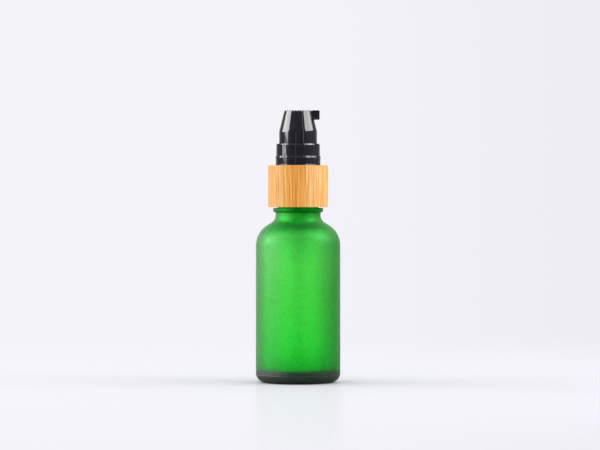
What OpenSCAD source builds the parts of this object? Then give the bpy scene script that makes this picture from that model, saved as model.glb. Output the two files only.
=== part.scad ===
// Pump oil bottle: a 30 ml frosted glass bottle with a bamboo collar and a treatment pump.
// Millimetres, +Z up. The origin is on the table, under the bottle's axis, and the nozzle points along +X.

/* [Bottle] */
// Outside diameter of the glass body
body_d = 33; // [32:0.5:34]
// Height of the glass, from the table to the rim
bottle_h = 79; // [77:0.5:90]
// Thickness of the glass wall
glass_wall = 2.3; // [1.9:0.1:2.5]
// Thickness of the glass floor
glass_floor = 4.2; // [3.6:0.1:5]
// Radius of the heel, where the wall turns under the body
heel_r = 3.8; // [3:0.1:4]
// Radius of the arc that the shoulder starts with
shoulder_r = 9.3; // [9:0.1:9.8]
// Tilt of the straight flank between the shoulder's arc and the neck, from vertical
flank_tilt = 57.8; // [56:0.1:60]

/* [Neck] */
// Diameter of the neck between the shoulder and the bead
neck_d = 17.6; // [17.4:0.1:17.8]
// Diameter of the bead under the thread
bead_d = 19.6; // [19:0.1:20]
// Diameter of the glass between the threads
finish_d = 15.6; // [15.4:0.1:15.8]
// Height of the threaded finish, from the bead to the rim
finish_h = 10.85; // [10.6:0.05:11.2]
// Diameter of the mouth
mouth_d = 12.4; // [12:0.1:12.6]

/* [Collar] */
// Outside diameter of the bamboo sleeve
sleeve_d = 23.44; // [23:0.02:25]
// Thickness of the bamboo lip over the screw cap
lip_h = 2.3; // [1.8:0.1:2.6]
// Outside diameter of the screw cap's skirt, without its ribs
cap_d = 20.3; // [20.2:0.1:20.4]
// Number of grip ribs that hold the sleeve on the screw cap
cap_ribs = 24; // [12:2:36]

/* [Shroud ring] */
// Diameter of the tier that an overcap slides over
upper_tier_d = 17.1; // [17:0.1:17.3]
// Height of that tier
upper_tier_h = 4.7; // [4.2:0.1:5]
// Diameter of the tier that stands on the sleeve
lower_tier_d = 17.5; // [17.4:0.05:17.6]
// Height of that tier, up to the overcap's seat
lower_tier_h = 3.7; // [3.4:0.1:4]
// Inside diameter of the well that the actuator sinks into
well_d = 15.4; // [15.3:0.1:15.6]

/* [Actuator] */
// Diameter of the actuator's skirt
skirt_d = 14.84; // [14.6:0.02:14.9]
// Height of the skirt that shows above the shroud ring
skirt_reveal = 4.9; // [4.8:0.1:6]
// Height of the cone above the skirt
cone_h = 7.8; // [7.4:0.1:9]
// Diameter of the finger pad at the top of the cone
pad_d = 10.9; // [10.6:0.1:11.2]
// Number of grip ribs across the finger pad
pad_ribs = 11; // [7:2:11]
// Distance from the axis to the nozzle's tip
nozzle_reach = 8.5; // [7.9:0.1:8.5]
// Width of the nozzle
nozzle_w = 3.8; // [3.2:0.1:4.4]
// Height of the nozzle
nozzle_h = 3.7; // [3.2:0.1:3.8]

/* [Pump engine] */
// How far the actuator presses down
stroke = 4.5; // [3:0.1:4.5]
// How far the piston lags behind the stem, which opens the outlet valve
piston_lag = 0.8; // [0.6:0.1:0.8]
// How far the inlet ball lifts off its seat
ball_lift = 1; // [0.8:0.1:1]
// Diameter of the inlet ball
ball_d = 3.18; // [3:0.02:3.2]
// Bore of the pump barrel
barrel_bore_d = 6.8; // [6.7:0.1:6.8]
// Outside diameter of the stem
stem_d = 4.2; // [4:0.1:4.2]
// Outside diameter of the dip tube
tube_d = 3.2; // [3:0.1:3.4]
// Wire of the return spring
wire_d = 0.6; // [0.5:0.05:0.6]
// Turns of the return spring, with its two closed ends
spring_turns = 7.5; // [6.5:0.5:8]

/* [Hidden] */
$fn = 96;

// Clearances: a running fit, a pressed fit, and the gap between parts that never touch
slip = 0.05;
press = 0.02;
gap = 0.2;
// How far a cutting shape runs past the face that it cuts
over = 1;

// Bottle
body_r = body_d / 2;
neck_r = neck_d / 2;
mouth_r = mouth_d / 2;
finish_r = finish_d / 2;
rim_z = bottle_h;
bead_top_z = rim_z - finish_h;
bead_h = 1.65;
shoulder_z = rim_z - 25.5;
shoulder_x = body_r - shoulder_r;
neck_fillet_r = 3.4;
mouth_fillet_r = 5;
floor_fillet_r = 1.5;
bead_cove_r = 0.25;
finish_cove_r = 0.5;
push_up_h = 1.3;
push_up_r = 11.2;

// Levels of the collar and the pump, from the rim upwards
gasket_h = 1;
flange_h = 1.2;
deck_h = 1.25;
bead_gap = 0.35;
well_floor_h = 1.3;
hub_h = 1.6;
throat_reveal = 0.8;
guide_cap_h = 1;
flange_z = rim_z + gasket_h;
flange_top_z = flange_z + flange_h;
deck_z = flange_top_z + slip;
deck_top_z = deck_z + deck_h;
collar_z = bead_top_z + bead_gap;
collar_top_z = deck_top_z + lip_h;
ring_z = deck_top_z + gap;
well_z = ring_z + well_floor_h;
ledge_z = collar_top_z + lower_tier_h;
ring_top_z = ledge_z + upper_tier_h;
hub_top_z = well_z + hub_h;
throat_top_z = hub_top_z + throat_reveal;
guide_top_z = throat_top_z + guide_cap_h;

// Levels of the actuator, which sits at the top of its stroke
skirt_z = well_z + stroke + gap;
cone_z = ring_top_z + skirt_reveal;
pad_z = cone_z + cone_h;
pad_rib_h = 0.35;
head_top_z = pad_z + pad_rib_h;
ceiling_z = head_top_z - nozzle_h - gap;
// the boss still clears the stem guide at the foot of the stroke
socket_z = guide_top_z + stroke + 2 * gap;
socket_depth = 5.7;
stem_top_z = socket_z + socket_depth;
outlet_z = head_top_z - nozzle_h / 2;

// Levels of the pump engine, from the flange downwards
guide_seat_h = 0.5;
guide_z = flange_z + guide_seat_h;
stop_h = 6.45;
stop_z = guide_z + 4.4;
stop_foot_z = stop_z - stop_h;
piston_h = 5.3;
piston_top_z = stop_foot_z - piston_lag - slip;
piston_z = piston_top_z - piston_h;
stem_foot_z = piston_z + 1.7;
valve_z = piston_z - slip;
barrel_depth = 22.5;
cage_z = flange_z - barrel_depth;
cage_h = 1.5;
cage_top_z = cage_z + cage_h;

// Radii of the pump engine
barrel_bore_r = barrel_bore_d / 2;
barrel_r = barrel_bore_r + 1.1;
throat_r = 4.6;
throat_outer_r = 5.4;
stem_r = stem_d / 2;
stem_bore_r = 1;
stop_r = 2.9;
tube_r = tube_d / 2;
tube_bore_r = 1.1;
ball_r = ball_d / 2;
chamber_r = 2.3;
snap_r = 0.35;
snap_z = ring_z + well_floor_h / 2;

// Inlet valve: a ball in a 45 degree cone rests at its radius times the root of two above the cone's point
ball_rest_h = ball_r * sqrt(2) - tube_bore_r + press;
ball_room = ceil(10 * (ball_rest_h + ball_r + gap / 2)) / 10;
seat_z = cage_z - ball_lift - ball_room;
tube_stop_h = 0.6;
tube_top_z = seat_z - tube_stop_h;
tube_grip = 7;
tail_z = tube_top_z - tube_grip;

// Return spring, from the cage up to the plunger's head
coil_r = 2.4;
plunger_head_h = 1.2;
// how far the plunger's cone reaches under the piston, whose bore it closes
valve_reach = 0.45;
plunger_z = valve_z - plunger_head_h - valve_reach;
spring_z = cage_top_z + press;
spring_top_z = plunger_z - press;
wire_sides = 8;
turn_steps = 24;

// Half sections, drawn with the radius along x and the height along y

module slab(r0, r1, z0, z1) {
    translate([r0, z0]) square([r1 - r0, z1 - z0]);
}

// A slab with its outer corners rounded
module round_slab(r0, r1, z0, z1, top = 0, foot = 0) {
    slab(r0, r1, z0 + foot, z1 - top);
    if (top > 0) {
        slab(r0, r1 - top, z1 - top, z1);
        translate([r1 - top, z1 - top]) circle(top);
    }
    if (foot > 0) {
        slab(r0, r1 - foot, z0, z0 + foot);
        translate([r1 - foot, z0 + foot]) circle(foot);
    }
}

// A frustum's half section
module taper(r0, r1, z0, z1) {
    polygon([[0, z0], [r0, z0], [r1, z1], [0, z1]]);
}

// Shoulder: an arc, then a straight flank tangent to it, then a fillet up into the neck
module shoulder(arc_r, neck, fillet_r) {
    normal = [cos(flank_tilt), sin(flank_tilt)];
    arc_centre = [shoulder_x, shoulder_z];
    // where both rounds touch one straight line, their centres are this far apart along z
    rise = (arc_r + fillet_r - (neck + fillet_r - shoulder_x) * normal.x) / normal.y;
    fillet_centre = [neck + fillet_r, shoulder_z + rise];
    arc_end = arc_centre + arc_r * normal;
    flank_end = fillet_centre - fillet_r * normal;
    intersection() {
        translate(arc_centre) circle(arc_r);
        slab(shoulder_x, shoulder_x + arc_r, shoulder_z, shoulder_z + arc_r);
    }
    difference() {
        polygon([[0, shoulder_z], arc_centre, arc_end, flank_end, fillet_centre,
                 [neck, fillet_centre.y], [0, fillet_centre.y]]);
        translate(fillet_centre) circle(fillet_r);
    }
}

// A fillet in the corner between a wall and a face above it, or below it with up = true
module cove(wall_r, z, r, up = false) {
    overlap = 0.1;
    side = up ? 1 : -1;
    difference() {
        translate([wall_r - overlap, up ? z - overlap : z - r]) square(r + overlap);
        translate([wall_r + r, z + side * r]) circle(r);
    }
}

module glass_outside() {
    bead_foot_z = bead_top_z - bead_h;
    round_slab(0, body_r, 0, shoulder_z, foot = heel_r);
    shoulder(shoulder_r, neck_r, neck_fillet_r);
    slab(0, neck_r, shoulder_z, bead_top_z);
    cove(neck_r, bead_foot_z, bead_cove_r);
    round_slab(0, bead_d / 2, bead_foot_z, bead_top_z, top = 0.5, foot = 0.7);
    cove(finish_r, bead_top_z, finish_cove_r, up = true);
    round_slab(0, finish_r, bead_top_z, rim_z, top = 0.6);
}

module glass_inside() {
    round_slab(0, body_r - glass_wall, glass_floor, shoulder_z, foot = floor_fillet_r);
    shoulder(shoulder_r - glass_wall, mouth_r, mouth_fillet_r);
    slab(0, mouth_r, shoulder_z, rim_z + over);
}

// The shallow dome under the base, which leaves a bearing ring around it
module push_up() {
    dome_r = (push_up_r * push_up_r + push_up_h * push_up_h) / (2 * push_up_h);
    translate([0, push_up_h - dome_r]) circle(dome_r, $fn = 360);
}

module bottle() {
    color("#2fb548", 0.6) rotate_extrude() difference() {
        glass_outside();
        glass_inside();
        push_up();
    }
}

module neck_gasket() {
    color("#e9e7e0") rotate_extrude()
        slab(barrel_r + gap / 2, finish_r - gap, rim_z, flange_z);
}

// Flange, throat with its snap bead, barrel, valve chamber, and the tail that grips the dip tube
module housing_section() {
    wall = 1;
    barrel_foot_z = cage_z - 0.5;
    chamber_top_z = barrel_foot_z - 1.5;
    chamber_foot_z = seat_z - 0.3;
    tail_top_z = chamber_foot_z - 1.2;
    bevel = 0.5;
    round_slab(0, finish_r - gap / 2, flange_z, flange_top_z, top = 0.2, foot = 0.2);
    slab(0, throat_outer_r, flange_top_z, throat_top_z);
    translate([throat_outer_r, snap_z]) circle(snap_r);
    slab(0, barrel_r, barrel_foot_z, flange_z);
    taper(chamber_r + wall, barrel_r, chamber_top_z, barrel_foot_z);
    slab(0, chamber_r + wall, chamber_foot_z, chamber_top_z);
    taper(tube_r + wall, chamber_r + wall, tail_top_z, chamber_foot_z);
    slab(0, tube_r + wall, tail_z + bevel, tail_top_z);
    taper(tube_r + wall - 0.3, tube_r + wall, tail_z, tail_z + bevel);
}

// The barrel's bore, the valve chamber with its conical ball seat, and the socket for the dip tube
module housing_bore() {
    cone_top_z = seat_z + chamber_r - tube_bore_r;
    slab(0, throat_r, guide_z, throat_top_z + over);
    slab(0, barrel_bore_r, cage_z, guide_z);
    slab(0, chamber_r, cone_top_z, cage_z);
    taper(tube_bore_r, chamber_r, seat_z, cone_top_z);
    slab(0, tube_bore_r, tube_top_z, seat_z);
    slab(0, tube_r + press, tail_z - over, tube_top_z);
}

module pump_housing() {
    vent_r = 0.4;
    vent_drop = 2;
    color("#f2f4f3") difference() {
        rotate_extrude() difference() {
            housing_section();
            housing_bore();
        }
        // air comes in here as the bottle empties, once the piston has passed
        translate([0, 0, flange_z - vent_drop]) rotate([-90, 0, 0])
            cylinder(r = vent_r, h = barrel_r + over);
    }
}

// The plug in the housing's throat: it guides the stem and stops it at the top of the stroke
module stem_guide() {
    funnel = 0.6;
    stem_play = 0.08;
    color("#eceeed") rotate_extrude() difference() {
        union() {
            slab(0, throat_r - press, guide_z, throat_top_z);
            round_slab(0, throat_outer_r - gap, throat_top_z, guide_top_z, top = 0.3);
        }
        slab(0, stop_r + 0.3, guide_z - over, stop_z + slip);
        slab(0, stem_r + stem_play, stop_z, guide_top_z);
        taper(stem_r, stem_r + funnel, guide_top_z - funnel, guide_top_z);
    }
}

// A disc's half section whose upper edge slopes in
module sloped_slab(r, z0, z1, slope_w, slope_h) {
    polygon([[0, z0], [r, z0], [r, z1 - slope_h], [r - slope_w, z1], [0, z1]]);
}

// Two tiers, with a ledge between them that an overcap stands on, and a fine foot flange over the sleeve
module ring_section() {
    lower_r = lower_tier_d / 2;
    foot_z = collar_top_z + slip;
    foot_h = 0.5;
    rim_h = 0.95;
    slab(0, lower_r, ring_z, ledge_z - rim_h / 2);
    sloped_slab(lower_r + 0.1, foot_z, foot_z + foot_h, 0.15, 0.4);
    sloped_slab(lower_r + 0.16, ledge_z - rim_h, ledge_z, 0.26, 0.75);
    sloped_slab(upper_tier_d / 2, ledge_z - rim_h / 2, ring_top_z, 0.22, 0.45);
}

// The two-tier ring snaps over the housing's throat and keeps the screw cap on the pump
module shroud_ring() {
    well_r = well_d / 2;
    hub_wall = 0.6;
    mouth_bevel = 0.15;
    color("#1f1f21") rotate_extrude() difference() {
        ring_section();
        difference() {
            slab(0, well_r, well_z, ring_top_z + over);
            round_slab(0, throat_outer_r + hub_wall, well_z, hub_top_z, top = 0.25);
        }
        taper(well_r, well_r + 2 * mouth_bevel, ring_top_z - mouth_bevel, ring_top_z + mouth_bevel);
        slab(0, throat_outer_r + press, ring_z - over, hub_top_z + over);
        translate([throat_outer_r, snap_z]) circle(snap_r + press);
    }
}

// The disc that holds the inlet ball down and carries the spring
module ball_cage() {
    eye_r = 1.45;
    spigot_h = 1.6;
    bar_w = 0.7;
    bar_h = 0.8;
    color("#e4e7e6") difference() {
        union() {
            translate([0, 0, cage_z]) cylinder(r = barrel_bore_r - press, h = cage_h);
            translate([0, 0, cage_top_z]) cylinder(r = coil_r - wire_d / 2 - slip, h = spigot_h);
        }
        difference() {
            translate([0, 0, cage_z - over]) cylinder(r = eye_r, h = cage_h + spigot_h + 2 * over);
            for (turn = [0, 90]) {
                rotate(turn) translate([-eye_r - over, -bar_w / 2, cage_z])
                    cube([2 * (eye_r + over), bar_w, bar_h]);
            }
        }
    }
}

module dip_tube() {
    foot_z = glass_floor + 1.1;
    cut_tilt = 35;
    cutter = 10;
    color("#f4f6f5", 0.8) difference() {
        translate([0, 0, foot_z]) cylinder(r = tube_r, h = tube_top_z - foot_z);
        translate([0, 0, foot_z - over]) cylinder(r = tube_bore_r, h = tube_top_z - foot_z + 2 * over);
        // the slanted end, so the tube draws oil even where it meets the floor
        translate([-tube_r, 0, foot_z]) rotate([0, -cut_tilt, 0])
            translate([-over, -cutter / 2, -cutter]) cube(cutter);
    }
}

// The closure's inner cap: a skirt over the finish, a recess for the pump's flange, and grip ribs outside
module screw_cap() {
    skirt_bore_r = bead_d / 2 - 0.75;
    flange_bore_r = finish_r + gap;
    shelf_z = flange_z + gap;
    mouth_bevel = 0.4;
    rib_r = 0.25;
    rib_inset = 1;
    color("#2a2a2c") difference() {
        union() {
            rotate_extrude() round_slab(0, cap_d / 2, collar_z, deck_top_z, top = 0.3, foot = 0.2);
            for (i = [0 : cap_ribs - 1]) {
                rotate(i * 360 / cap_ribs) translate([cap_d / 2, 0, collar_z + rib_inset])
                    cylinder(r = rib_r, h = deck_top_z - collar_z - 2 * rib_inset);
            }
        }
        rotate_extrude() {
            slab(0, skirt_bore_r, collar_z - over, shelf_z);
            taper(skirt_bore_r + mouth_bevel, skirt_bore_r, collar_z, collar_z + mouth_bevel);
            slab(0, flange_bore_r, shelf_z, deck_z);
            slab(0, throat_outer_r + gap, deck_z, deck_top_z + over);
        }
    }
}

module bamboo_sleeve() {
    rib_room = 0.27;
    lip_bore_r = lower_tier_d / 2 + 0.3;
    bevel = 0.2;
    color("#e0aa62") rotate_extrude() difference() {
        round_slab(0, sleeve_d / 2, collar_z, collar_top_z, top = 0.55, foot = 0.3);
        slab(0, cap_d / 2 + rib_room, collar_z - over, deck_top_z);
        slab(0, lip_bore_r, deck_top_z, collar_top_z + over);
        taper(lip_bore_r, lip_bore_r + bevel, collar_top_z - bevel, collar_top_z);
    }
}

module inlet_ball() {
    color("#c9ccd0") translate([0, 0, seat_z + ball_rest_h]) sphere(ball_r);
}

// Height of the wire's centre after some turns: a closed turn at each end, and even pitch between
function coil_z(turn) =
    let (low = spring_z + wire_d / 2, high = spring_top_z - wire_d / 2, closed = wire_d + press)
    turn < 1 ? low + turn * closed :
    turn > spring_turns - 1 ? high - (spring_turns - turn) * closed :
    low + closed + (high - low - 2 * closed) * (turn - 1) / (spring_turns - 2);

module return_spring() {
    rings = spring_turns * turn_steps;
    points = [for (i = [0 : rings]) for (k = [0 : wire_sides - 1])
        let (turn = i / turn_steps, side = k * 360 / wire_sides, r = coil_r + wire_d / 2 * cos(side))
        [r * cos(turn * 360), r * sin(turn * 360), coil_z(turn) + wire_d / 2 * sin(side)]];
    walls = [for (i = [0 : rings - 1]) for (k = [0 : wire_sides - 1])
        let (next = (k + 1) % wire_sides, base = i * wire_sides)
        [base + k, base + next, base + wire_sides + next, base + wire_sides + k]];
    start_cap = [for (k = [wire_sides - 1 : -1 : 0]) k];
    end_cap = [for (k = [0 : wire_sides - 1]) rings * wire_sides + k];
    color("#b9bcc0") polyhedron(points, concat([start_cap], walls, [end_cap]));
}

// A straight skirt, a soft round of turn_r, and a cone up to the finger pad
module actuator_outside() {
    turn_r = 3.5;
    skirt_r = skirt_d / 2;
    tilt = atan((skirt_r - pad_d / 2) / cone_h);
    // the round touches skirt and cone this far from the corner where they would meet
    reach = turn_r * tan(tilt / 2);
    cone_foot_r = skirt_r - reach * sin(tilt);
    cone_foot_z = cone_z + reach * cos(tilt);
    slab(0, skirt_r, skirt_z, cone_z - reach);
    slab(0, cone_foot_r, cone_z - 2 * reach, cone_foot_z);
    translate([skirt_r - turn_r, cone_z - reach]) circle(turn_r);
    taper(cone_foot_r, pad_d / 2, cone_foot_z, pad_z);
}

// The hollow under the actuator follows its outside, one wall further in
module actuator_hollow() {
    wall = 1.1;
    bevel = 0.3;
    hollow_r = skirt_d / 2 - wall;
    ceiling_r = pad_d / 2 + (skirt_d - pad_d) / 2 * (pad_z - ceiling_z) / cone_h - wall;
    slab(0, hollow_r, skirt_z - over, cone_z);
    taper(hollow_r, ceiling_r, cone_z, ceiling_z);
    taper(hollow_r + bevel, hollow_r, skirt_z, skirt_z + bevel);
}

// The nozzle: its side view swept across, its front view swept outwards, and the reach as a cylinder
module nozzle() {
    root_x = pad_d / 2;
    tip_r = 0.6;
    belly_r = 1.2;
    intersection() {
        rotate([90, 0, 0]) linear_extrude(nozzle_w, center = true) {
            round_slab(root_x, nozzle_reach, head_top_z - nozzle_h, head_top_z, top = tip_r, foot = tip_r);
            slab(0, root_x, head_top_z - nozzle_h, pad_z - gap);
        }
        rotate([90, 0, 90]) linear_extrude(nozzle_reach) {
            slab(-nozzle_w / 2, nozzle_w / 2, head_top_z - nozzle_h + belly_r, head_top_z);
            slab(belly_r - nozzle_w / 2, nozzle_w / 2 - belly_r, head_top_z - nozzle_h, head_top_z);
            for (side = [-1, 1]) {
                translate([side * (nozzle_w / 2 - belly_r), head_top_z - nozzle_h + belly_r])
                    circle(belly_r);
            }
        }
        translate([0, 0, head_top_z - nozzle_h - over]) cylinder(r = nozzle_reach, h = nozzle_h + 2 * over);
    }
}

// Half-round grip ribs across the finger pad, trimmed to its edge
module finger_ribs() {
    pitch = 1;
    rib_r = 0.27;
    intersection() {
        for (i = [0 : pad_ribs - 1]) {
            translate([(i - (pad_ribs - 1) / 2) * pitch, 0, 0]) rotate([90, 0, 0])
                linear_extrude(pad_d, center = true) {
                    slab(-rib_r, rib_r, pad_z - gap, head_top_z - rib_r);
                    translate([0, head_top_z - rib_r]) circle(rib_r);
                }
        }
        translate([0, 0, pad_z - over]) cylinder(r = pad_d / 2, h = 2 * over);
    }
}

module actuator() {
    boss_r = 3.5;
    web_t = 0.8;
    web_z = socket_z + 3;
    outlet_r = 0.8;
    outlet_bevel = 0.4;
    color("#1f1f21") difference() {
        union() {
            rotate_extrude() actuator_outside();
            nozzle();
            finger_ribs();
        }
        difference() {
            rotate_extrude() actuator_hollow();
            translate([0, 0, socket_z]) cylinder(r = boss_r, h = ceiling_z - socket_z + over);
            for (turn = [45, 135]) {
                rotate(turn) translate([-skirt_d / 2, -web_t / 2, web_z])
                    cube([skirt_d, web_t, pad_z - web_z]);
            }
        }
        // socket for the stem, then the riser and the outlet through the nozzle
        translate([0, 0, socket_z - over]) cylinder(r = stem_r + press, h = stem_top_z - socket_z + over);
        translate([0, 0, stem_top_z - over]) cylinder(r = stem_bore_r, h = outlet_z - stem_top_z + over);
        translate([0, 0, outlet_z]) rotate([0, 90, 0]) cylinder(r = outlet_r, h = nozzle_reach + over);
        translate([nozzle_reach - outlet_bevel, 0, outlet_z]) rotate([0, 90, 0])
            cylinder(r1 = outlet_r, r2 = outlet_r + 2 * outlet_bevel, h = 2 * outlet_bevel);
    }
}

module stem() {
    groove_r = 0.5;
    color("#f2f4f3") difference() {
        rotate_extrude() difference() {
            union() {
                round_slab(0, stem_r, stem_foot_z, stem_top_z, top = 0.3);
                round_slab(0, stop_r, stop_foot_z, stop_z, top = 0.2, foot = 0.2);
            }
            slab(0, stem_bore_r, stem_foot_z - over, stem_top_z + over);
        }
        // grooves let air past the stop
        for (turn = [45 : 90 : 315]) {
            rotate(turn) translate([stop_r, 0, stop_foot_z - over])
                cylinder(r = groove_r, h = stop_z - stop_foot_z + 2 * over);
        }
    }
}

// The outlet valve's seat: the spring pushes on its head, and its fluted spigot fills the stem's bore
module plunger() {
    head_r = 2.6;
    cone_top_r = 1.4;
    cone_foot_z = plunger_z + plunger_head_h;
    cone_top_z = cone_foot_z + head_r - cone_top_r;
    tail_r = 1.2;
    tail_h = 4.5;
    spigot_r = stem_bore_r - press;
    spigot_top_z = stem_foot_z + 6;
    flute_w = 0.6;
    flute_depth = 0.5;
    color("#e4e7e6") difference() {
        rotate_extrude() {
            round_slab(0, tail_r, plunger_z - tail_h, plunger_z, foot = 0.6);
            slab(0, head_r, plunger_z, cone_foot_z);
            taper(head_r, cone_top_r, cone_foot_z, cone_top_z);
            round_slab(0, spigot_r, cone_top_z, spigot_top_z, top = 0.3);
        }
        for (turn = [0 : 120 : 240]) {
            rotate(turn) translate([spigot_r - flute_depth, -flute_w / 2, cone_top_z])
                cube([over, flute_w, spigot_top_z - cone_top_z + over]);
        }
    }
}

// A sleeve that slides on the stem, and a web that spreads from it to the two sealing lips
module piston() {
    hub_r = stem_r + slip + 0.6;
    root_r = hub_r - 0.1;
    lip_r = barrel_bore_r - 0.04;
    lip_edge_r = lip_r - 0.3;
    waist_r = lip_r - 0.15;
    lip_h = 0.5;
    lip_foot_z = piston_z + 0.4;
    lip_top_z = piston_top_z - 0.4;
    web_z = piston_z + piston_h / 2;
    web_h = 1;
    color("#f2f4f3") rotate_extrude() {
        slab(stem_r + slip, hub_r, piston_z, piston_top_z);
        polygon([[root_r, web_z - web_h], [lip_edge_r, lip_foot_z], [lip_r, lip_foot_z],
                 [lip_r, lip_foot_z + lip_h], [waist_r, web_z], [lip_r, lip_top_z - lip_h],
                 [lip_r, lip_top_z], [lip_edge_r, lip_top_z], [root_r, web_z + web_h]]);
    }
}

bottle();
neck_gasket();
pump_housing();
stem_guide();
shroud_ring();
ball_cage();
dip_tube();
screw_cap();
bamboo_sleeve();
inlet_ball();
return_spring();
actuator();
stem();
plunger();
piston();
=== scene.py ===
import math

import bpy
import numpy as np
from mathutils import Matrix, Vector


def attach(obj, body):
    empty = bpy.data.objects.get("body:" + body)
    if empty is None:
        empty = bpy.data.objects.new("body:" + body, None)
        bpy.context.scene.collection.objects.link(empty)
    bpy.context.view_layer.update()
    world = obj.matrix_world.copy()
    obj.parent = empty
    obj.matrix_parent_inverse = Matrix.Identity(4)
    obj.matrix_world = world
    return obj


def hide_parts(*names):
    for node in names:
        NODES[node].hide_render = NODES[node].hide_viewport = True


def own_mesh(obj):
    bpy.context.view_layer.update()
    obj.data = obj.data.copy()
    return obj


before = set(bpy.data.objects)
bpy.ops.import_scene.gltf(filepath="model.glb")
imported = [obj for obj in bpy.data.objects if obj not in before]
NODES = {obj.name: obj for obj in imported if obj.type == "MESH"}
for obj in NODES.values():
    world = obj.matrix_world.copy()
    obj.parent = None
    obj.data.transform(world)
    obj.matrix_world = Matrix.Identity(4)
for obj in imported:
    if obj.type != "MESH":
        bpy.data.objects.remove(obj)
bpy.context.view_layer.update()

# The pump oil bottle stands on Z = 0, its axis on Z. The nozzle points to +X, the camera looks to +Y.
# Shapes and textures are written in millimetres, the floor, the lamps and the camera in metres.
MM = 0.001


# ---------------------------------------------------------------- mesh tools

def new_object(name, verts, faces, sharp_deg=30):
    """A smooth-shaded mesh object, with the edges sharper than sharp_deg kept crisp."""
    mesh = bpy.data.meshes.new(name)
    mesh.from_pydata([tuple(v) for v in verts], [], faces)
    mesh.validate()
    mesh.polygons.foreach_set("use_smooth", [True] * len(mesh.polygons))
    mesh.set_sharp_from_angle(angle=math.radians(sharp_deg))
    mesh.update()
    obj = bpy.data.objects.new(name, mesh)
    bpy.context.scene.collection.objects.link(obj)
    return obj


def polar(cx, cz, r, degrees):
    """The point of the half section at that angle round a centre."""
    return cx + r * math.cos(math.radians(degrees)), cz + r * math.sin(math.radians(degrees))


def arc(cx, cz, r, a0, a1, step):
    """Points of an arc in the half section, angles in degrees, no further apart than step."""
    n = max(2, int(math.ceil(abs(a1 - a0) / step)))
    return [polar(cx, cz, r, a0 + (a1 - a0) * i / n) for i in range(n + 1)]


def line(p, q, step):
    """Points from p to q, without p, no further apart than step."""
    n = max(1, int(math.ceil(math.dist(p, q) / step)))
    return [(p[0] + (q[0] - p[0]) * i / n, p[1] + (q[1] - p[1]) * i / n) for i in range(1, n + 1)]


def revolve(profile, segments, shape):
    """Vertices and faces of a half section turned about Z, in metres, its radii passed through shape.

    The section starts and ends on the axis, and those two points are the last two vertices.
    """
    turn = np.linspace(0, 2 * math.pi, segments, endpoint=False)
    rings = np.array(profile[1:-1], float)
    r = np.repeat(rings[:, :1], segments, axis=1)
    z = np.repeat(rings[:, 1:], segments, axis=1)
    r = shape(r, z, turn[None, :])
    xyz = np.stack([r * np.cos(turn), r * np.sin(turn), z], axis=-1).reshape(-1, 3)
    verts = np.vstack([xyz, [[0, 0, profile[0][1]], [0, 0, profile[-1][1]]]]) * MM
    faces = []
    nxt = [(k + 1) % segments for k in range(segments)]
    for i in range(len(rings) - 1):
        a, b = i * segments, (i + 1) * segments
        faces += [(a + k, a + nxt[k], b + nxt[k], b + k) for k in range(segments)]
    first, last = len(xyz), len(xyz) + 1
    end = (len(rings) - 1) * segments
    faces += [(first, nxt[k], k) for k in range(segments)]
    faces += [(last, end + k, end + nxt[k]) for k in range(segments)]
    return verts, faces


def sweep_faces(steps, sides):
    """Faces of a section of that many sides carried along steps, closed at both ends."""
    faces = []
    for a in range(0, steps * sides, sides):
        b = a + sides
        for k in range(sides):
            nxt = (k + 1) % sides
            faces.append((a + k, a + nxt, b + nxt, b + k))
    faces.append(tuple(reversed(range(sides))))
    faces.append(tuple(steps * sides + k for k in range(sides)))
    return faces


def smooth(t):
    """Smooth step of t, from 0 to 1."""
    return t * t * (3 - 2 * t)


# ---------------------------------------------------------------- material tools

def material(name):
    mat = bpy.data.materials.new(name)
    mat.use_nodes = True
    tree = mat.node_tree
    return mat, tree, tree.nodes["Principled BSDF"]


def link(tree, source, target):
    tree.links.new(source, target)


def coords(tree, scale=(1, 1, 1), rotation=(0, 0, 0)):
    """Object coordinates in millimetres, stretched by scale."""
    where = tree.nodes.new("ShaderNodeTexCoord")
    mapping = tree.nodes.new("ShaderNodeMapping")
    mapping.inputs["Scale"].default_value = [1000 * s for s in scale]
    mapping.inputs["Rotation"].default_value = rotation
    link(tree, where.outputs["Object"], mapping.inputs["Vector"])
    return mapping.outputs["Vector"]


def axes(tree, vector):
    """The outputs X, Y and Z of a vector."""
    node = tree.nodes.new("ShaderNodeSeparateXYZ")
    link(tree, vector, node.inputs[0])
    return node.outputs


def noise(tree, vector, scale, detail, rough, distortion=0.0):
    node = tree.nodes.new("ShaderNodeTexNoise")
    node.inputs["Scale"].default_value = scale
    node.inputs["Detail"].default_value = detail
    node.inputs["Roughness"].default_value = rough
    node.inputs["Distortion"].default_value = distortion
    link(tree, vector, node.inputs["Vector"])
    return node.outputs["Fac"]


def ramp(tree, value, stops):
    """Colours at places from 0 to 1 along value; a stop's colour may be one grey level."""
    node = tree.nodes.new("ShaderNodeValToRGB")
    elements = node.color_ramp.elements
    while len(elements) < len(stops):
        elements.new(0.5)
    for element, (place, colour) in zip(elements, stops):
        element.position = place
        grey = isinstance(colour, (int, float))
        element.color = (colour, colour, colour, 1) if grey else (*colour, 1)
    link(tree, value, node.inputs["Fac"])
    return node.outputs["Color"]


def remap(tree, value, low, high, start, end):
    """value from start..end to low..high, linear and clamped."""
    node = tree.nodes.new("ShaderNodeMapRange")
    node.inputs["From Min"].default_value = start
    node.inputs["From Max"].default_value = end
    node.inputs["To Min"].default_value = low
    node.inputs["To Max"].default_value = high
    link(tree, value, node.inputs["Value"])
    return node.outputs["Result"]


def ramp_between(tree, value, start, end, stops):
    """Colours at values from start to end, such as heights in millimetres."""
    places = [((at - start) / (end - start), colour) for at, colour in stops]
    return ramp(tree, remap(tree, value, 0.0, 1.0, start, end), places)


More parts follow.
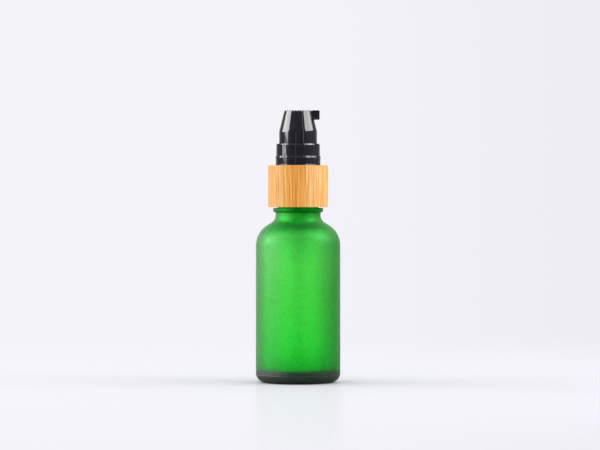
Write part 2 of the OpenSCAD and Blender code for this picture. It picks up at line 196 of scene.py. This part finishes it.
def connect(tree, value, socket):
    """Link a socket to value, or set it to value, a number or a colour."""
    if isinstance(value, bpy.types.NodeSocket):
        link(tree, value, socket)
    else:
        socket.default_value = (*value, 1) if isinstance(value, tuple) else value


def mix(tree, factor, a, b, blend="MIX"):
    """Colour a turning to b by factor; each is a socket or a plain value."""
    node = tree.nodes.new("ShaderNodeMix")
    node.data_type = "RGBA"
    node.blend_type = blend
    for index, value in ((0, factor), (6, a), (7, b)):
        connect(tree, value, node.inputs[index])
    return node.outputs[2]


def tinted(tree, a, b):
    """Two colours multiplied."""
    return mix(tree, 1.0, a, b, "MULTIPLY")


def maths(tree, operation, a, b):
    node = tree.nodes.new("ShaderNodeMath")
    node.operation = operation
    for socket, value in zip(node.inputs, (a, b)):
        connect(tree, value, socket)
    return node.outputs[0]


def weighted(tree, a, a_share, b, b_share):
    """Two heights added in those shares."""
    return maths(tree, "ADD", maths(tree, "MULTIPLY", a, a_share), maths(tree, "MULTIPLY", b, b_share))


def bump(tree, height, depth):
    """A bump of that depth, in millimetres."""
    node = tree.nodes.new("ShaderNodeBump")
    node.inputs["Strength"].default_value = 1.0
    node.inputs["Distance"].default_value = depth * MM
    link(tree, height, node.inputs["Height"])
    return node.outputs["Normal"]


# ---------------------------------------------------------------- materials

ETCH_ROUGH_LOW, ETCH_ROUGH_HIGH, BRIGHT_ROUGH = 0.56, 0.72, 0.03
# The colours of the foot's painted shade and of the painted highlight along the seam ridge.
FOOT_PAINTED_SHADE, SEAM_PAINTED_HIGHLIGHT = (0.22, 0.012, 0.60), (0.62, 0.11, 0.95)


def glass_body_colour(tree, where, height):
    """The wall's green with painted light by height: painted shade deepens it towards the foot and in
    the neck, a painted highlight makes the shoulder paler; with the etch's flecks and a slow drift.
    """
    depth = ramp_between(tree, height, 5.0, 70.0, [
        (5.0, (0.22, 0.92, 0.43)), (12.8, (0.47, 1.0, 0.52)), (23.85, (0.70, 1.0, 0.60)),
        (36.2, (0.84, 1.0, 0.64)), (47.9, (1.08, 1.03, 0.74)), (55.7, (0.66, 0.99, 0.68)),
        (61.55, (0.16, 1.12, 0.50)), (65.775, (0.18, 1.04, 0.51)), (67.4, (0.18, 0.77, 0.50))])
    warm = ramp(tree, noise(tree, where, 2.8, 2.0, 0.6),
                [(0.42, (0.30, 0.97, 1.0)), (0.58, (1.78, 1.01, 1.0))])
    cool = ramp(tree, noise(tree, coords(tree, rotation=(0.7, 0.4, 1.1)), 2.8, 2.0, 0.6),
                [(0.42, (1.0, 1.0, 0.42)), (0.58, (1.0, 1.0, 1.62))])
    drift = ramp(tree, noise(tree, where, 0.45, 2.0, 0.6),
                 [(0.38, (0.82, 0.98, 1.0)), (0.62, (1.18, 1.0, 1.0))])
    return tinted(tree, tinted(tree, depth, tinted(tree, warm, cool)), drift)


def glass_haze_tint(tree, height, facing):
    """The tint of the light that the etch scatters back, white where it is grazing."""
    haze = ramp_between(tree, height, 0.0, 70.0, [
        (4.2, (1.0, 1.0, 1.0)), (5.95, (0.22, 0.70, 0.38)), (23.8, (0.36, 0.78, 0.50)),
        (39.9, (0.60, 0.86, 0.68)), (49.7, (0.85, 0.95, 0.90)), (57.4, (0.86, 0.95, 0.90)),
        (60.55, (0.16, 0.70, 0.40)), (62.3, (0.12, 0.70, 0.36)), (63.7, (0.44, 0.66, 0.54)),
        (65.8, (0.46, 0.52, 0.50)), (66.5, (0.12, 0.22, 0.24))])
    grazing = remap(tree, facing, 0.0, 1.0, 0.40, 0.80)
    return mix(tree, grazing, haze, (1.0, 1.0, 1.0))


def frosted_glass():
    """Green glass, acid-etched outside and bright inside, with the fine mottling of the etch."""
    mat, tree, shader = material("frosted_green_glass")
    shader.inputs["Transmission Weight"].default_value = 1.0
    shader.inputs["IOR"].default_value = 1.5
    where = coords(tree)
    height = axes(tree, where)["Z"]
    frost = tree.nodes.new("ShaderNodeAttribute")
    frost.attribute_name = "frost"

    grain = noise(tree, where, 1.6, 4.0, 0.65)
    cloud = noise(tree, where, 0.22, 2.0, 0.5)
    mottle = weighted(tree, grain, 0.6, cloud, 0.4)
    etch = maths(tree, "MULTIPLY", remap(tree, mottle, ETCH_ROUGH_LOW, ETCH_ROUGH_HIGH, 0.3, 0.7),
                 frost.outputs["Fac"])
    link(tree, maths(tree, "MAXIMUM", etch, BRIGHT_ROUGH), shader.inputs["Roughness"])
    pits = maths(tree, "MULTIPLY", grain, frost.outputs["Fac"])
    link(tree, bump(tree, pits, 0.02), shader.inputs["Normal"])

    rim = tree.nodes.new("ShaderNodeLayerWeight")
    rim.inputs["Blend"].default_value = 0.5
    facing = rim.outputs["Facing"]
    # Painted shade: the glass colour darkens and turns greyer towards the grazing rims.
    painted_rim_shade = ramp(tree, facing, [
        (0.0, 0.93), (0.1, 0.875), (0.2, 0.78), (0.3, 0.70), (0.38, 0.64), (0.46, 0.52),
        (0.6, (0.57, 0.54, 0.59)), (0.85, (0.60, 0.40, 0.70))])
    wall = tinted(tree, glass_body_colour(tree, where, height), painted_rim_shade)

    # Painted shade: the foot is coloured nearly black, and a paler painted highlight line runs along the
    # mould's seam ridge.
    foot = ramp_between(tree, height, 0.0, 4.0, [
        (2.64, FOOT_PAINTED_SHADE), (2.88, SEAM_PAINTED_HIGHLIGHT), (3.08, SEAM_PAINTED_HIGHLIGHT), (3.36, FOOT_PAINTED_SHADE)])
    foot_shade_share = remap(tree, height, 1.0, 0.0, 3.8, 5.5)
    link(tree, mix(tree, foot_shade_share, wall, foot), shader.inputs["Base Color"])
    link(tree, glass_haze_tint(tree, height, facing), shader.inputs["Specular Tint"])

    absorb = tree.nodes.new("ShaderNodeVolumeAbsorption")
    absorb.inputs["Color"].default_value = (0.06, 0.96, 0.14, 1)
    absorb.inputs["Density"].default_value = 500.0
    link(tree, absorb.outputs["Volume"], tree.nodes["Material Output"].inputs["Volume"])
    return mat


def bamboo():
    """Turned bamboo: fibre bundles along Z on a pale ground, in glued strips of different tone."""
    mat, tree, shader = material("bamboo_grain")
    streak = noise(tree, coords(tree, (1, 1, 0.022)), 2.7, 6.0, 0.72, 0.06)
    fine = noise(tree, coords(tree, (1, 1, 0.010)), 4.4, 3.0, 0.65)
    wander = noise(tree, coords(tree, (0.3, 0.3, 0.1)), 1.0, 2.0, 0.5)
    ground = ramp(tree, streak, [(0.36, (0.82, 0.33, 0.055)), (0.44, (0.93, 0.45, 0.105)),
                                 (0.52, (1.0, 0.58, 0.20)), (0.64, (1.0, 0.75, 0.40))])

    # Glued strips across X, the dark ones and their two glue lines left of the centre.
    across = maths(tree, "ADD", axes(tree, coords(tree))["X"], maths(tree, "MULTIPLY", wander, 0.9))
    strips = ramp_between(tree, across, -11.3, 12.2, [
        (-11.3, (1.0, 0.97, 0.92)), (-6.13, (1.02, 1.0, 1.06)), (-4.25, (0.97, 0.88, 0.58)),
        (-2.0175, (0.96, 0.83, 0.48)), (-1.7825, (0.74, 0.46, 0.20)), (-1.43, (0.94, 0.78, 0.42)),
        (-0.725, (0.92, 0.74, 0.38)), (-0.537, (0.76, 0.50, 0.22)), (-0.1375, (0.93, 0.74, 0.40)),
        (2.8, (0.97, 0.88, 0.62)), (5.15, (1.02, 1.03, 1.05)), (12.2, (1.05, 1.08, 1.02))])

    lines = ramp(tree, fine, [(0.39, (0.90, 0.62, 0.36)), (0.47, (1.0, 1.0, 1.0)),
                              (0.55, (1.0, 1.0, 1.0)), (0.62, (1.05, 1.16, 1.40))])
    link(tree, tinted(tree, tinted(tree, ground, strips), lines), shader.inputs["Base Color"])
    link(tree, remap(tree, streak, 0.62, 0.42, 0.3, 0.7), shader.inputs["Roughness"])
    shader.inputs["Specular IOR Level"].default_value = 0.25
    link(tree, bump(tree, weighted(tree, streak, 0.6, fine, 0.4), 0.03), shader.inputs["Normal"])
    return mat


def black_plastic(name, colour, low, high, relief):
    """Moulded plastic with a slow waviness and dull clouds, its roughness from low to high."""
    mat, tree, shader = material(name)
    where = coords(tree)
    cloud = noise(tree, where, 0.35, 3.0, 0.55)
    speck = noise(tree, where, 6.0, 2.0, 0.5)
    dark, pale = tuple(c * 0.8 for c in colour), tuple(c * 1.25 for c in colour)
    shade = ramp(tree, cloud, [(0.3, dark), (0.7, pale)])
    link(tree, shade, shader.inputs["Base Color"])
    link(tree, remap(tree, cloud, low, high, 0.3, 0.7), shader.inputs["Roughness"])
    shader.inputs["IOR"].default_value = 1.45
    height = maths(tree, "ADD", cloud, maths(tree, "MULTIPLY", speck, 0.008))
    link(tree, bump(tree, height, relief), shader.inputs["Normal"])
    return mat


def milky_plastic(name, colour, rough, clear):
    """Unpigmented polypropylene or polyethylene: milky, waxy, and see-through by the share clear."""
    mat, tree, shader = material(name)
    cloud = noise(tree, coords(tree), 0.5, 3.0, 0.5)
    flow = noise(tree, coords(tree, (1, 1, 0.2)), 1.5, 2.0, 0.5)
    shade = ramp(tree, cloud, [(0.3, tuple(c * 0.93 for c in colour)), (0.7, colour)])
    link(tree, shade, shader.inputs["Base Color"])
    link(tree, remap(tree, flow, rough - 0.06, rough + 0.08, 0.3, 0.7), shader.inputs["Roughness"])
    shader.inputs["IOR"].default_value = 1.49
    shader.inputs["Transmission Weight"].default_value = clear
    link(tree, bump(tree, flow, 0.008), shader.inputs["Normal"])
    return mat


def drawn_steel():
    """Stainless wire and ball, with a fine even grain."""
    mat, tree, shader = material("stainless_steel")
    grain = noise(tree, coords(tree), 5.0, 4.0, 0.6)
    shade = ramp(tree, grain, [(0.3, (0.50, 0.50, 0.51)), (0.7, (0.66, 0.66, 0.68))])
    link(tree, shade, shader.inputs["Base Color"])
    link(tree, remap(tree, grain, 0.16, 0.30, 0.3, 0.7), shader.inputs["Roughness"])
    shader.inputs["Metallic"].default_value = 1.0
    link(tree, bump(tree, grain, 0.004), shader.inputs["Normal"])
    return mat


def cell_foam():
    """Closed-cell gasket foam, its cells 0.2 mm across."""
    mat, tree, shader = material("gasket_foam")
    cells = tree.nodes.new("ShaderNodeTexVoronoi")
    cells.inputs["Scale"].default_value = 5.0
    link(tree, coords(tree), cells.inputs["Vector"])
    shade = ramp(tree, cells.outputs["Distance"], [(0.0, (0.52, 0.51, 0.48)), (0.4, (0.80, 0.79, 0.76))])
    link(tree, shade, shader.inputs["Base Color"])
    shader.inputs["Roughness"].default_value = 0.85
    link(tree, bump(tree, cells.outputs["Distance"], 0.05), shader.inputs["Normal"])
    return mat


GLASS = frosted_glass()
BAMBOO = bamboo()
GLOSS_BLACK = black_plastic("black_plastic_gloss", (0.013, 0.012, 0.018), 0.03, 0.055, 0.0006)
CAP_BLACK = black_plastic("cap_plastic_satin", (0.02, 0.02, 0.021), 0.3, 0.42, 0.01)
WHITE = milky_plastic("white_polypropylene", (0.80, 0.81, 0.80), 0.34, 0.15)
CLEAR = milky_plastic("milky_polyethylene", (0.90, 0.92, 0.91), 0.25, 0.9)
STEEL = drawn_steel()
FOAM = cell_foam()

# The CAD nodes keep their shapes and get a new finish.
FINISHES = (
    (FOAM, ("neck_gasket",)),
    (WHITE, ("pump_housing", "stem_guide", "ball_cage", "stem", "plunger", "piston")),
    (CLEAR, ("dip_tube",)),
    (STEEL, ("inlet_ball",)),
    (CAP_BLACK, ("screw_cap",)),
    (BAMBOO, ("bamboo_sleeve",)),
    (GLOSS_BLACK, ("shroud_ring", "actuator")),
)
for finish, node_names in FINISHES:
    for node_name in node_names:
        for material_slot in NODES[node_name].material_slots:
            material_slot.link = "OBJECT"
            material_slot.material = finish


# ---------------------------------------------------------------- bottle

SEGMENTS = 240
BODY_R, NECK_R, BEAD_R, FINISH_R, MOUTH_R = 16.5, 8.8, 9.8, 7.8, 6.2
SHOULDER_Z, BEAD_FOOT, BEAD_TOP, RIM_Z = 53.5, 66.5, 68.15, 79.0

# The shoulder's arcs, outside and inside, turn round one centre up to its straight flank.
SHOULDER_X, FLANK_DEG = 7.2, 57.8
SHOULDER_OUT, FILLET_OUT = 9.3, 3.4
SHOULDER_IN, FILLET_IN = 7.0, 5.0

# The push-up under the foot, the heel round it, and the mould's seam, a ridge on the heel.
PUSH_UP_R, PUSH_UP_H = 11.2, 1.3
HEEL_X, HEEL_R = 12.7, 3.8
SEAM_DEG, SEAM_HALF_DEG, SEAM_H = -11, 3.5, 0.07

# Radii of the rounded edges: the bead's, the finish's root and rim, and the two tight creases.
BEAD_ROUND_LOW, BEAD_ROUND_TOP, FINISH_ROOT, RIM_ROUND, CREASE = 0.7, 0.5, 0.5, 0.6, 0.25

# The oil space: its wall, its floor, and the round between them.
CAVITY_R, CAVITY_FLOOR = 14.2, 4.2
CAVITY_ROUND, CAVITY_ROUND_X, CAVITY_ROUND_Z = 1.5, 12.7, 5.7

# The thread: THREAD_FADE is the part of a turn in which it runs out at each end.
PITCH, THREAD_START, THREAD_TURNS, THREAD_FADE = 3.0, 71.1, 1.8, 0.08
THREAD_H, THREAD_HALF_FOOT, THREAD_HALF_CREST = 1.1, 0.85, 0.2


def shoulder_points(arc_r, neck, fillet_r, step):
    """Shoulder of the half section, from the body up to the neck: arc, straight flank, fillet."""
    cos_f, sin_f = math.cos(math.radians(FLANK_DEG)), math.sin(math.radians(FLANK_DEG))
    rise = (arc_r + fillet_r - (neck + fillet_r - SHOULDER_X) * cos_f) / sin_f
    points = arc(SHOULDER_X, SHOULDER_Z, arc_r, 0, FLANK_DEG, step)
    fillet = arc(neck + fillet_r, SHOULDER_Z + rise, fillet_r, 180 + FLANK_DEG, 180, step)
    return points + line(points[-1], fillet[0], 0.8) + fillet[1:]


def glass_outside():
    """Half section from the axis under the push-up, round the outside, up to the rim."""
    dome_r = (PUSH_UP_R ** 2 + PUSH_UP_H ** 2) / (2 * PUSH_UP_H)
    half = math.degrees(math.asin(PUSH_UP_R / dome_r))
    points = arc(0, PUSH_UP_H - dome_r, dome_r, 90, 90 - half, 0.6)
    points += line((PUSH_UP_R, 0), (HEEL_X, 0), 0.5)
    for angle in list(range(-85, -16, 5)) + [-14.5, -12.5, -11, -9.5, -7.5, -4, 0]:
        seam = SEAM_H * max(0.0, 1 - abs(angle - SEAM_DEG) / SEAM_HALF_DEG)
        points.append(polar(HEEL_X, HEEL_R, HEEL_R + seam, angle))
    points += line((BODY_R, HEEL_R), (BODY_R, SHOULDER_Z), 1.6)
    points += shoulder_points(SHOULDER_OUT, NECK_R, FILLET_OUT, 3)[1:]
    points += line(points[-1], (NECK_R, BEAD_FOOT - CREASE), 0.8)
    points += arc(NECK_R + CREASE, BEAD_FOOT - CREASE, CREASE, 180, 90, 18)[1:]
    points += arc(BEAD_R - BEAD_ROUND_LOW, BEAD_FOOT + BEAD_ROUND_LOW, BEAD_ROUND_LOW, -90, 0, 12)
    points += arc(BEAD_R - BEAD_ROUND_TOP, BEAD_TOP - BEAD_ROUND_TOP, BEAD_ROUND_TOP, 0, 90, 15)
    points += line((BEAD_R - BEAD_ROUND_TOP, BEAD_TOP), (FINISH_R + FINISH_ROOT, BEAD_TOP), 0.4)
    points += arc(FINISH_R + FINISH_ROOT, BEAD_TOP + FINISH_ROOT, FINISH_ROOT, 270, 180, 15)[1:]
    points += line((FINISH_R, BEAD_TOP + FINISH_ROOT), (FINISH_R, RIM_Z - RIM_ROUND), 0.11)
    points += arc(FINISH_R - RIM_ROUND, RIM_Z - RIM_ROUND, RIM_ROUND, 0, 90, 10)[1:]
    return points


def glass_inside():
    """Half section from the rim, down the bore and the oil space, to the axis on its floor."""
    points = line((FINISH_R - RIM_ROUND, RIM_Z), (MOUTH_R + CREASE, RIM_Z), 0.4)
    points += arc(MOUTH_R + CREASE, RIM_Z - CREASE, CREASE, 90, 180, 18)[1:]
    bore = list(reversed(shoulder_points(SHOULDER_IN, MOUTH_R, FILLET_IN, 4)))
    points += line((MOUTH_R, RIM_Z - CREASE), bore[0], 1.5)
    points += bore[1:]
    points += line((CAVITY_R, SHOULDER_Z), (CAVITY_R, CAVITY_ROUND_Z), 1.6)
    points += arc(CAVITY_ROUND_X, CAVITY_ROUND_Z, CAVITY_ROUND, 0, -90, 9)[1:]
    points += line((CAVITY_ROUND_X, CAVITY_FLOOR), (0, CAVITY_FLOOR), 1.5)
    return points


def ridge(z, centre_z):
    """Height of the thread's ridge, from 0 to 1, with round shoulders."""
    in_from_foot = THREAD_HALF_FOOT - np.abs(z - centre_z)
    return smooth(np.clip(in_from_foot / (THREAD_HALF_FOOT - THREAD_HALF_CREST), 0, 1))


def with_thread(r, z, turn):
    """The radii r with a right-hand thread on the finish, which runs out at both ends."""
    high = np.zeros_like(r)
    for k in range(math.ceil(THREAD_TURNS) + 1):
        t = turn / (2 * math.pi) + k
        ends = smooth(np.clip(np.minimum(t, THREAD_TURNS - t) / THREAD_FADE, 0, 1))
        high = np.maximum(high, ends * ridge(z, THREAD_START + PITCH * t))
    on_finish = (np.abs(r - FINISH_R) < 0.01) & (z > BEAD_TOP + FINISH_ROOT) & (z < RIM_Z - RIM_ROUND)
    return np.where(on_finish, r + THREAD_H * high, r)


outside, inside = glass_outside(), glass_inside()
verts, faces = revolve(outside + inside, SEGMENTS, with_thread)
bottle = new_object("Glass_bottle", verts, faces)

# Etched are the rings of the outside, and the point on the axis under the push-up.
etched = np.zeros(len(verts), np.float32)
etched[:(len(outside) - 1) * SEGMENTS] = 1.0
etched[-2] = 1.0
bottle.data.attributes.new("frost", "FLOAT", "POINT").data.foreach_set("value", etched)
bottle.data.materials.append(GLASS)
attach(bottle, "bottle")
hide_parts("bottle")


# ---------------------------------------------------------------- thread inside the screw cap

CAP_BORE_R, CAP_CREST_R = 9.05, 8.1
CAP_START, CAP_TURNS = THREAD_START - 0.5 * PITCH, 1.7
CAP_HALF_FOOT, CAP_HALF_CREST, CAP_ROOT = 0.55, 0.22, 0.1


def cap_ridge():
    """The screw cap's thread: a swept ridge, let into the bore's wall, that runs out at both ends."""
    per_turn = 96
    steps = int(CAP_TURNS * per_turn)
    points = []
    for i in range(steps + 1):
        a = 2 * math.pi * i / per_turn
        z = CAP_START + PITCH * i / per_turn
        full = smooth(min(1.0, min(i, steps - i) / (THREAD_FADE * per_turn)))
        tip = CAP_BORE_R - (CAP_BORE_R - CAP_CREST_R) * max(full, 0.02)
        neck = CAP_BORE_R * 0.25 + tip * 0.75
        half = [(CAP_BORE_R + CAP_ROOT, CAP_HALF_FOOT), (CAP_BORE_R, CAP_HALF_FOOT),
                (neck, CAP_HALF_CREST + 0.1 * full), (tip, CAP_HALF_CREST * 0.6)]
        section = [(r, -dz) for r, dz in half] + half[::-1]
        points += [(r * math.cos(a) * MM, r * math.sin(a) * MM, (z + dz) * MM) for r, dz in section]
    return new_object("Cap_thread", points, sweep_faces(steps, len(section)), 60)


cap_thread = cap_ridge()
cap_thread.data.materials.append(CAP_BLACK)
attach(cap_thread, "closure")


# ---------------------------------------------------------------- return spring

COIL_TURNS, COIL_R, WIRE_R = 7.5, 2.4, 0.3
COIL_FOOT, COIL_TOP, CLOSED_PITCH = 59.02, 70.58, 0.62


def spring_coil():
    """Round steel wire, with a closed turn at each end, on the CAD spring's own line."""
    per_turn, sides = 48, 14
    low, high = COIL_FOOT + WIRE_R, COIL_TOP - WIRE_R
    steps = int(COIL_TURNS * per_turn)
    points = []
    for i in range(steps + 1):
        t = i / per_turn
        if t < 1:
            z = low + t * CLOSED_PITCH
        elif t > COIL_TURNS - 1:
            z = high - (COIL_TURNS - t) * CLOSED_PITCH
        else:
            z = low + CLOSED_PITCH + (high - low - 2 * CLOSED_PITCH) * (t - 1) / (COIL_TURNS - 2)
        a = 2 * math.pi * t
        for k in range(sides):
            b = 2 * math.pi * k / sides
            r = COIL_R + WIRE_R * math.cos(b)
            points.append((r * math.cos(a) * MM, r * math.sin(a) * MM, (z + WIRE_R * math.sin(b)) * MM))
    return new_object("Return_coil", points, sweep_faces(steps, sides), 60)


coil = spring_coil()
coil.data.materials.append(STEEL)
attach(coil, "spring")
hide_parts("return_spring")
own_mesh(coil)


# ---------------------------------------------------------------- floor and surroundings

BACKDROP, BACKDROP_RIGHT_SHARE = (0.905, 0.896, 0.947), 0.94
AMBIENT = 0.9
FLOOR_COLOUR = (0.93, 0.93, 0.955, 1)
FLOOR_GLOSS_SHARE, FLOOR_ROUGH = 0.13, 0.22
FLOOR_HALF, FADE_START, FADE_END = 3.0, 0.10, 0.45


def two_shaders(tree, factor, a, b):
    """A shader node that turns from shader a to shader b by factor."""
    node = tree.nodes.new("ShaderNodeMixShader")
    connect(tree, factor, node.inputs["Fac"])
    link(tree, a.outputs[0], node.inputs[1])
    link(tree, b.outputs[0], node.inputs[2])
    return node


def pale_floor():
    """A pale table, lit as it is near the object and fading into the backdrop's colour further out."""
    size = FLOOR_HALF
    corners = [(-size, -size, 0), (size, -size, 0), (size, size, 0), (-size, size, 0)]
    floor = new_object("Floor", corners, [(0, 1, 2, 3)])
    mat = bpy.data.materials.new("pale_floor")
    mat.use_nodes = True
    tree = mat.node_tree
    tree.nodes.clear()
    matt = tree.nodes.new("ShaderNodeBsdfDiffuse")
    matt.inputs["Color"].default_value = FLOOR_COLOUR
    gloss = tree.nodes.new("ShaderNodeBsdfGlossy")
    gloss.inputs["Roughness"].default_value = FLOOR_ROUGH
    clear = tree.nodes.new("ShaderNodeBsdfTransparent")
    where = tree.nodes.new("ShaderNodeTexCoord")
    far = tree.nodes.new("ShaderNodeVectorMath")
    far.operation = "LENGTH"
    link(tree, where.outputs["Object"], far.inputs[0])
    fade = tree.nodes.new("ShaderNodeMapRange")
    fade.interpolation_type = "SMOOTHSTEP"
    fade.inputs["From Min"].default_value = FADE_START
    fade.inputs["From Max"].default_value = FADE_END
    link(tree, far.outputs["Value"], fade.inputs["Value"])
    table = two_shaders(tree, FLOOR_GLOSS_SHARE, matt, gloss)
    faded = two_shaders(tree, fade.outputs["Result"], table, clear)
    out = tree.nodes.new("ShaderNodeOutputMaterial")
    link(tree, faded.outputs[0], out.inputs["Surface"])
    floor.data.materials.append(mat)


def studio_world():
    """Pale surroundings: full strength for the camera, dimmer for gloss, glass and light."""
    world = bpy.data.worlds.new("Studio")
    bpy.context.scene.world = world
    world.use_nodes = True
    tree = world.node_tree
    background = tree.nodes["Background"]
    path = tree.nodes.new("ShaderNodeLightPath")
    where = tree.nodes.new("ShaderNodeTexCoord")
    place = axes(tree, where.outputs["Generated"])

    # Glass sees the surroundings darker towards both sides.
    shade_right = remap(tree, place["X"], 1.0, 0.6, 0.2, 1.0)
    shade_left = remap(tree, place["X"], 0.5, 1.0, -1.0, -0.15)
    shade_side = maths(tree, "MULTIPLY", shade_right, shade_left)
    through = maths(tree, "MULTIPLY", path.outputs["Is Transmission Ray"], shade_side)
    seen = maths(tree, "MAXIMUM", path.outputs["Is Camera Ray"], through)

    # Gloss sees a dim room, brighter behind the object and overhead.
    room = ramp_between(tree, place["Y"], -1.0, 1.0, [
        (-0.90, 0.15), (-0.56, 0.45), (0.0, 0.5), (0.38, 0.38), (0.53, 0.28), (0.68, 0.4),
        (0.83, 0.5), (0.92, 0.75), (0.98, 1.0)])
    ceiling = remap(tree, place["Z"], 0.0, 0.5, 0.45, 0.8)
    gloss = maths(tree, "MULTIPLY", path.outputs["Is Glossy Ray"], maths(tree, "ADD", room, ceiling))
    lit = maths(tree, "MULTIPLY", path.outputs["Is Diffuse Ray"], AMBIENT)
    level = maths(tree, "MAXIMUM", maths(tree, "MAXIMUM", seen, gloss), lit)
    link(tree, level, background.inputs["Strength"])

    # The backdrop is a little darker towards +X.
    dim = tuple(c * BACKDROP_RIGHT_SHARE for c in BACKDROP)
    backdrop = ramp_between(tree, place["X"], 0.0, 0.1, [(0.0, BACKDROP), (0.1, dim)])
    link(tree, backdrop, background.inputs["Color"])


# ---------------------------------------------------------------- lamps

def softbox(name, azimuth, distance, low, high, half_deg, radiance, roll=0, only=None):
    """A rectangular light at an azimuth in degrees from the camera's side, positive towards +X.

    It lights matt surfaces. With only, a collection, it is a reflection that just those pieces show.
    """
    width = 2 * distance * math.tan(math.radians(half_deg))
    height = high - low
    lamp = bpy.data.lights.new(name, "AREA")
    lamp.shape = "RECTANGLE"
    lamp.size, lamp.size_y = width, height
    lamp.energy = radiance * math.pi * width * height
    obj = bpy.data.objects.new(name, lamp)
    bpy.context.scene.collection.objects.link(obj)
    a = math.radians(azimuth)
    place = Vector((distance * math.sin(a), -distance * math.cos(a), (low + high) / 2))
    aim = Vector((0, 0, place.z)) - place
    turn = aim.to_track_quat("-Z", "Y").to_matrix() @ Matrix.Rotation(math.radians(roll), 3, "Z")
    obj.location = place
    obj.rotation_euler = turn.to_euler()
    obj.visible_diffuse = only is None
    obj.visible_glossy = only is not None
    obj.visible_transmission = False
    obj.visible_volume_scatter = False
    obj.visible_camera = False
    obj.light_linking.receiver_collection = only


def group(name, *objects):
    """A collection that a lamp can be linked to."""
    collection = bpy.data.collections.new(name)
    for obj in objects:
        collection.objects.link(obj)
    return collection


# Each row: name, azimuth, distance, low, high, half width in degrees, radiance, and the roll if any.
ROOM_BOXES = (
    ("Soft_left", -95, 0.9, 0.15, 0.95, 28, 1.6),
    ("Soft_right", 82, 0.9, 0.15, 0.95, 28, 1.6),
)
MOULDING_BOXES = (
    ("Gloss_left", -72.7, 0.6, 0.150, 0.43, 11.3, 14.0),
    ("Gloss_left_rear", -95.5, 0.6, 0.150, 0.365, 11.5, 14.0),
    ("Gloss_left_far", -111.5, 0.6, 0.150, 0.35, 4.5, 5.5),
    ("Ledge_left", -90.0, 0.6, 0.44, 0.62, 25, 8.0),
    ("Ledge_left_rear", -99.5, 0.6, 0.37, 0.44, 15.5, 6.5),
    ("Gloss_left_foot", -75.5, 0.6, 0.1056, 0.150, 11.8, 10.5, -1.1),
    ("Gloss_left_ring", -78.5, 0.62, 0.0953, 0.1023, 12.3, 8.6),
    ("Gloss_left_tier", -68, 0.62, 0.091, 0.0953, 8, 4.0),
    ("Gloss_right", 61, 0.6, 0.25, 0.44, 14, 11.5),
    ("Gloss_right_rear", 89, 0.6, 0.25, 0.375, 14, 11.5),
    ("Gloss_right_far", 107.5, 0.6, 0.25, 0.36, 4.5, 5.0),
    ("Ledge_right", 80, 0.6, 0.45, 0.70, 30, 8.0),
    ("Ledge_right_rear", 91, 0.6, 0.38, 0.45, 13, 6.5),
    ("Edge_left", -92.5, 0.5, 0.50, 0.95, 26.5, 8.0),
    ("Edge_right", 80, 0.5, 0.50, 0.95, 35, 9.0),
    ("Strip_right", 33, 0.6, 0.1025, 0.60, 2.2, 2.2),
    ("Strip_left", -13.5, 0.6, 0.085, 0.14, 3.0, 0.6),
)
GLASS_BOXES = (
    ("Glass_left", -85, 0.6, 0.05, 0.50, 28, 11.8),
    ("Glass_right", 80, 0.6, 0.35, 0.90, 28, 9.6),
    ("Glass_rim_left", -158, 0.6, 0.0, 0.35, 14, 2.4),
    ("Glass_rim_right", 158, 0.6, 0.0, 0.35, 14, 1.9),
)

pale_floor()
studio_world()
MOULDINGS = group("Gloss_mouldings", NODES["actuator"], NODES["shroud_ring"])
GLASSWARE = group("Glassware", bottle)
for receivers, boxes in ((None, ROOM_BOXES), (MOULDINGS, MOULDING_BOXES), (GLASSWARE, GLASS_BOXES)):
    for row in boxes:
        softbox(*row, only=receivers)


# ---------------------------------------------------------------- camera

CAMERA_PLACE, CAMERA_DOWN_DEG = (0.00074, -1.172, 0.0752), 0.67

camera_data = bpy.data.cameras.new("Camera")
camera_data.lens = 180
camera_data.sensor_width = 36
camera_data.clip_start = 0.01
camera = bpy.data.objects.new("Camera", camera_data)
camera.location = CAMERA_PLACE
camera.rotation_euler = (math.radians(90 - CAMERA_DOWN_DEG), 0, 0)

scene = bpy.context.scene
scene.collection.objects.link(camera)
scene.camera = camera
scene.view_settings.view_transform = "Standard"
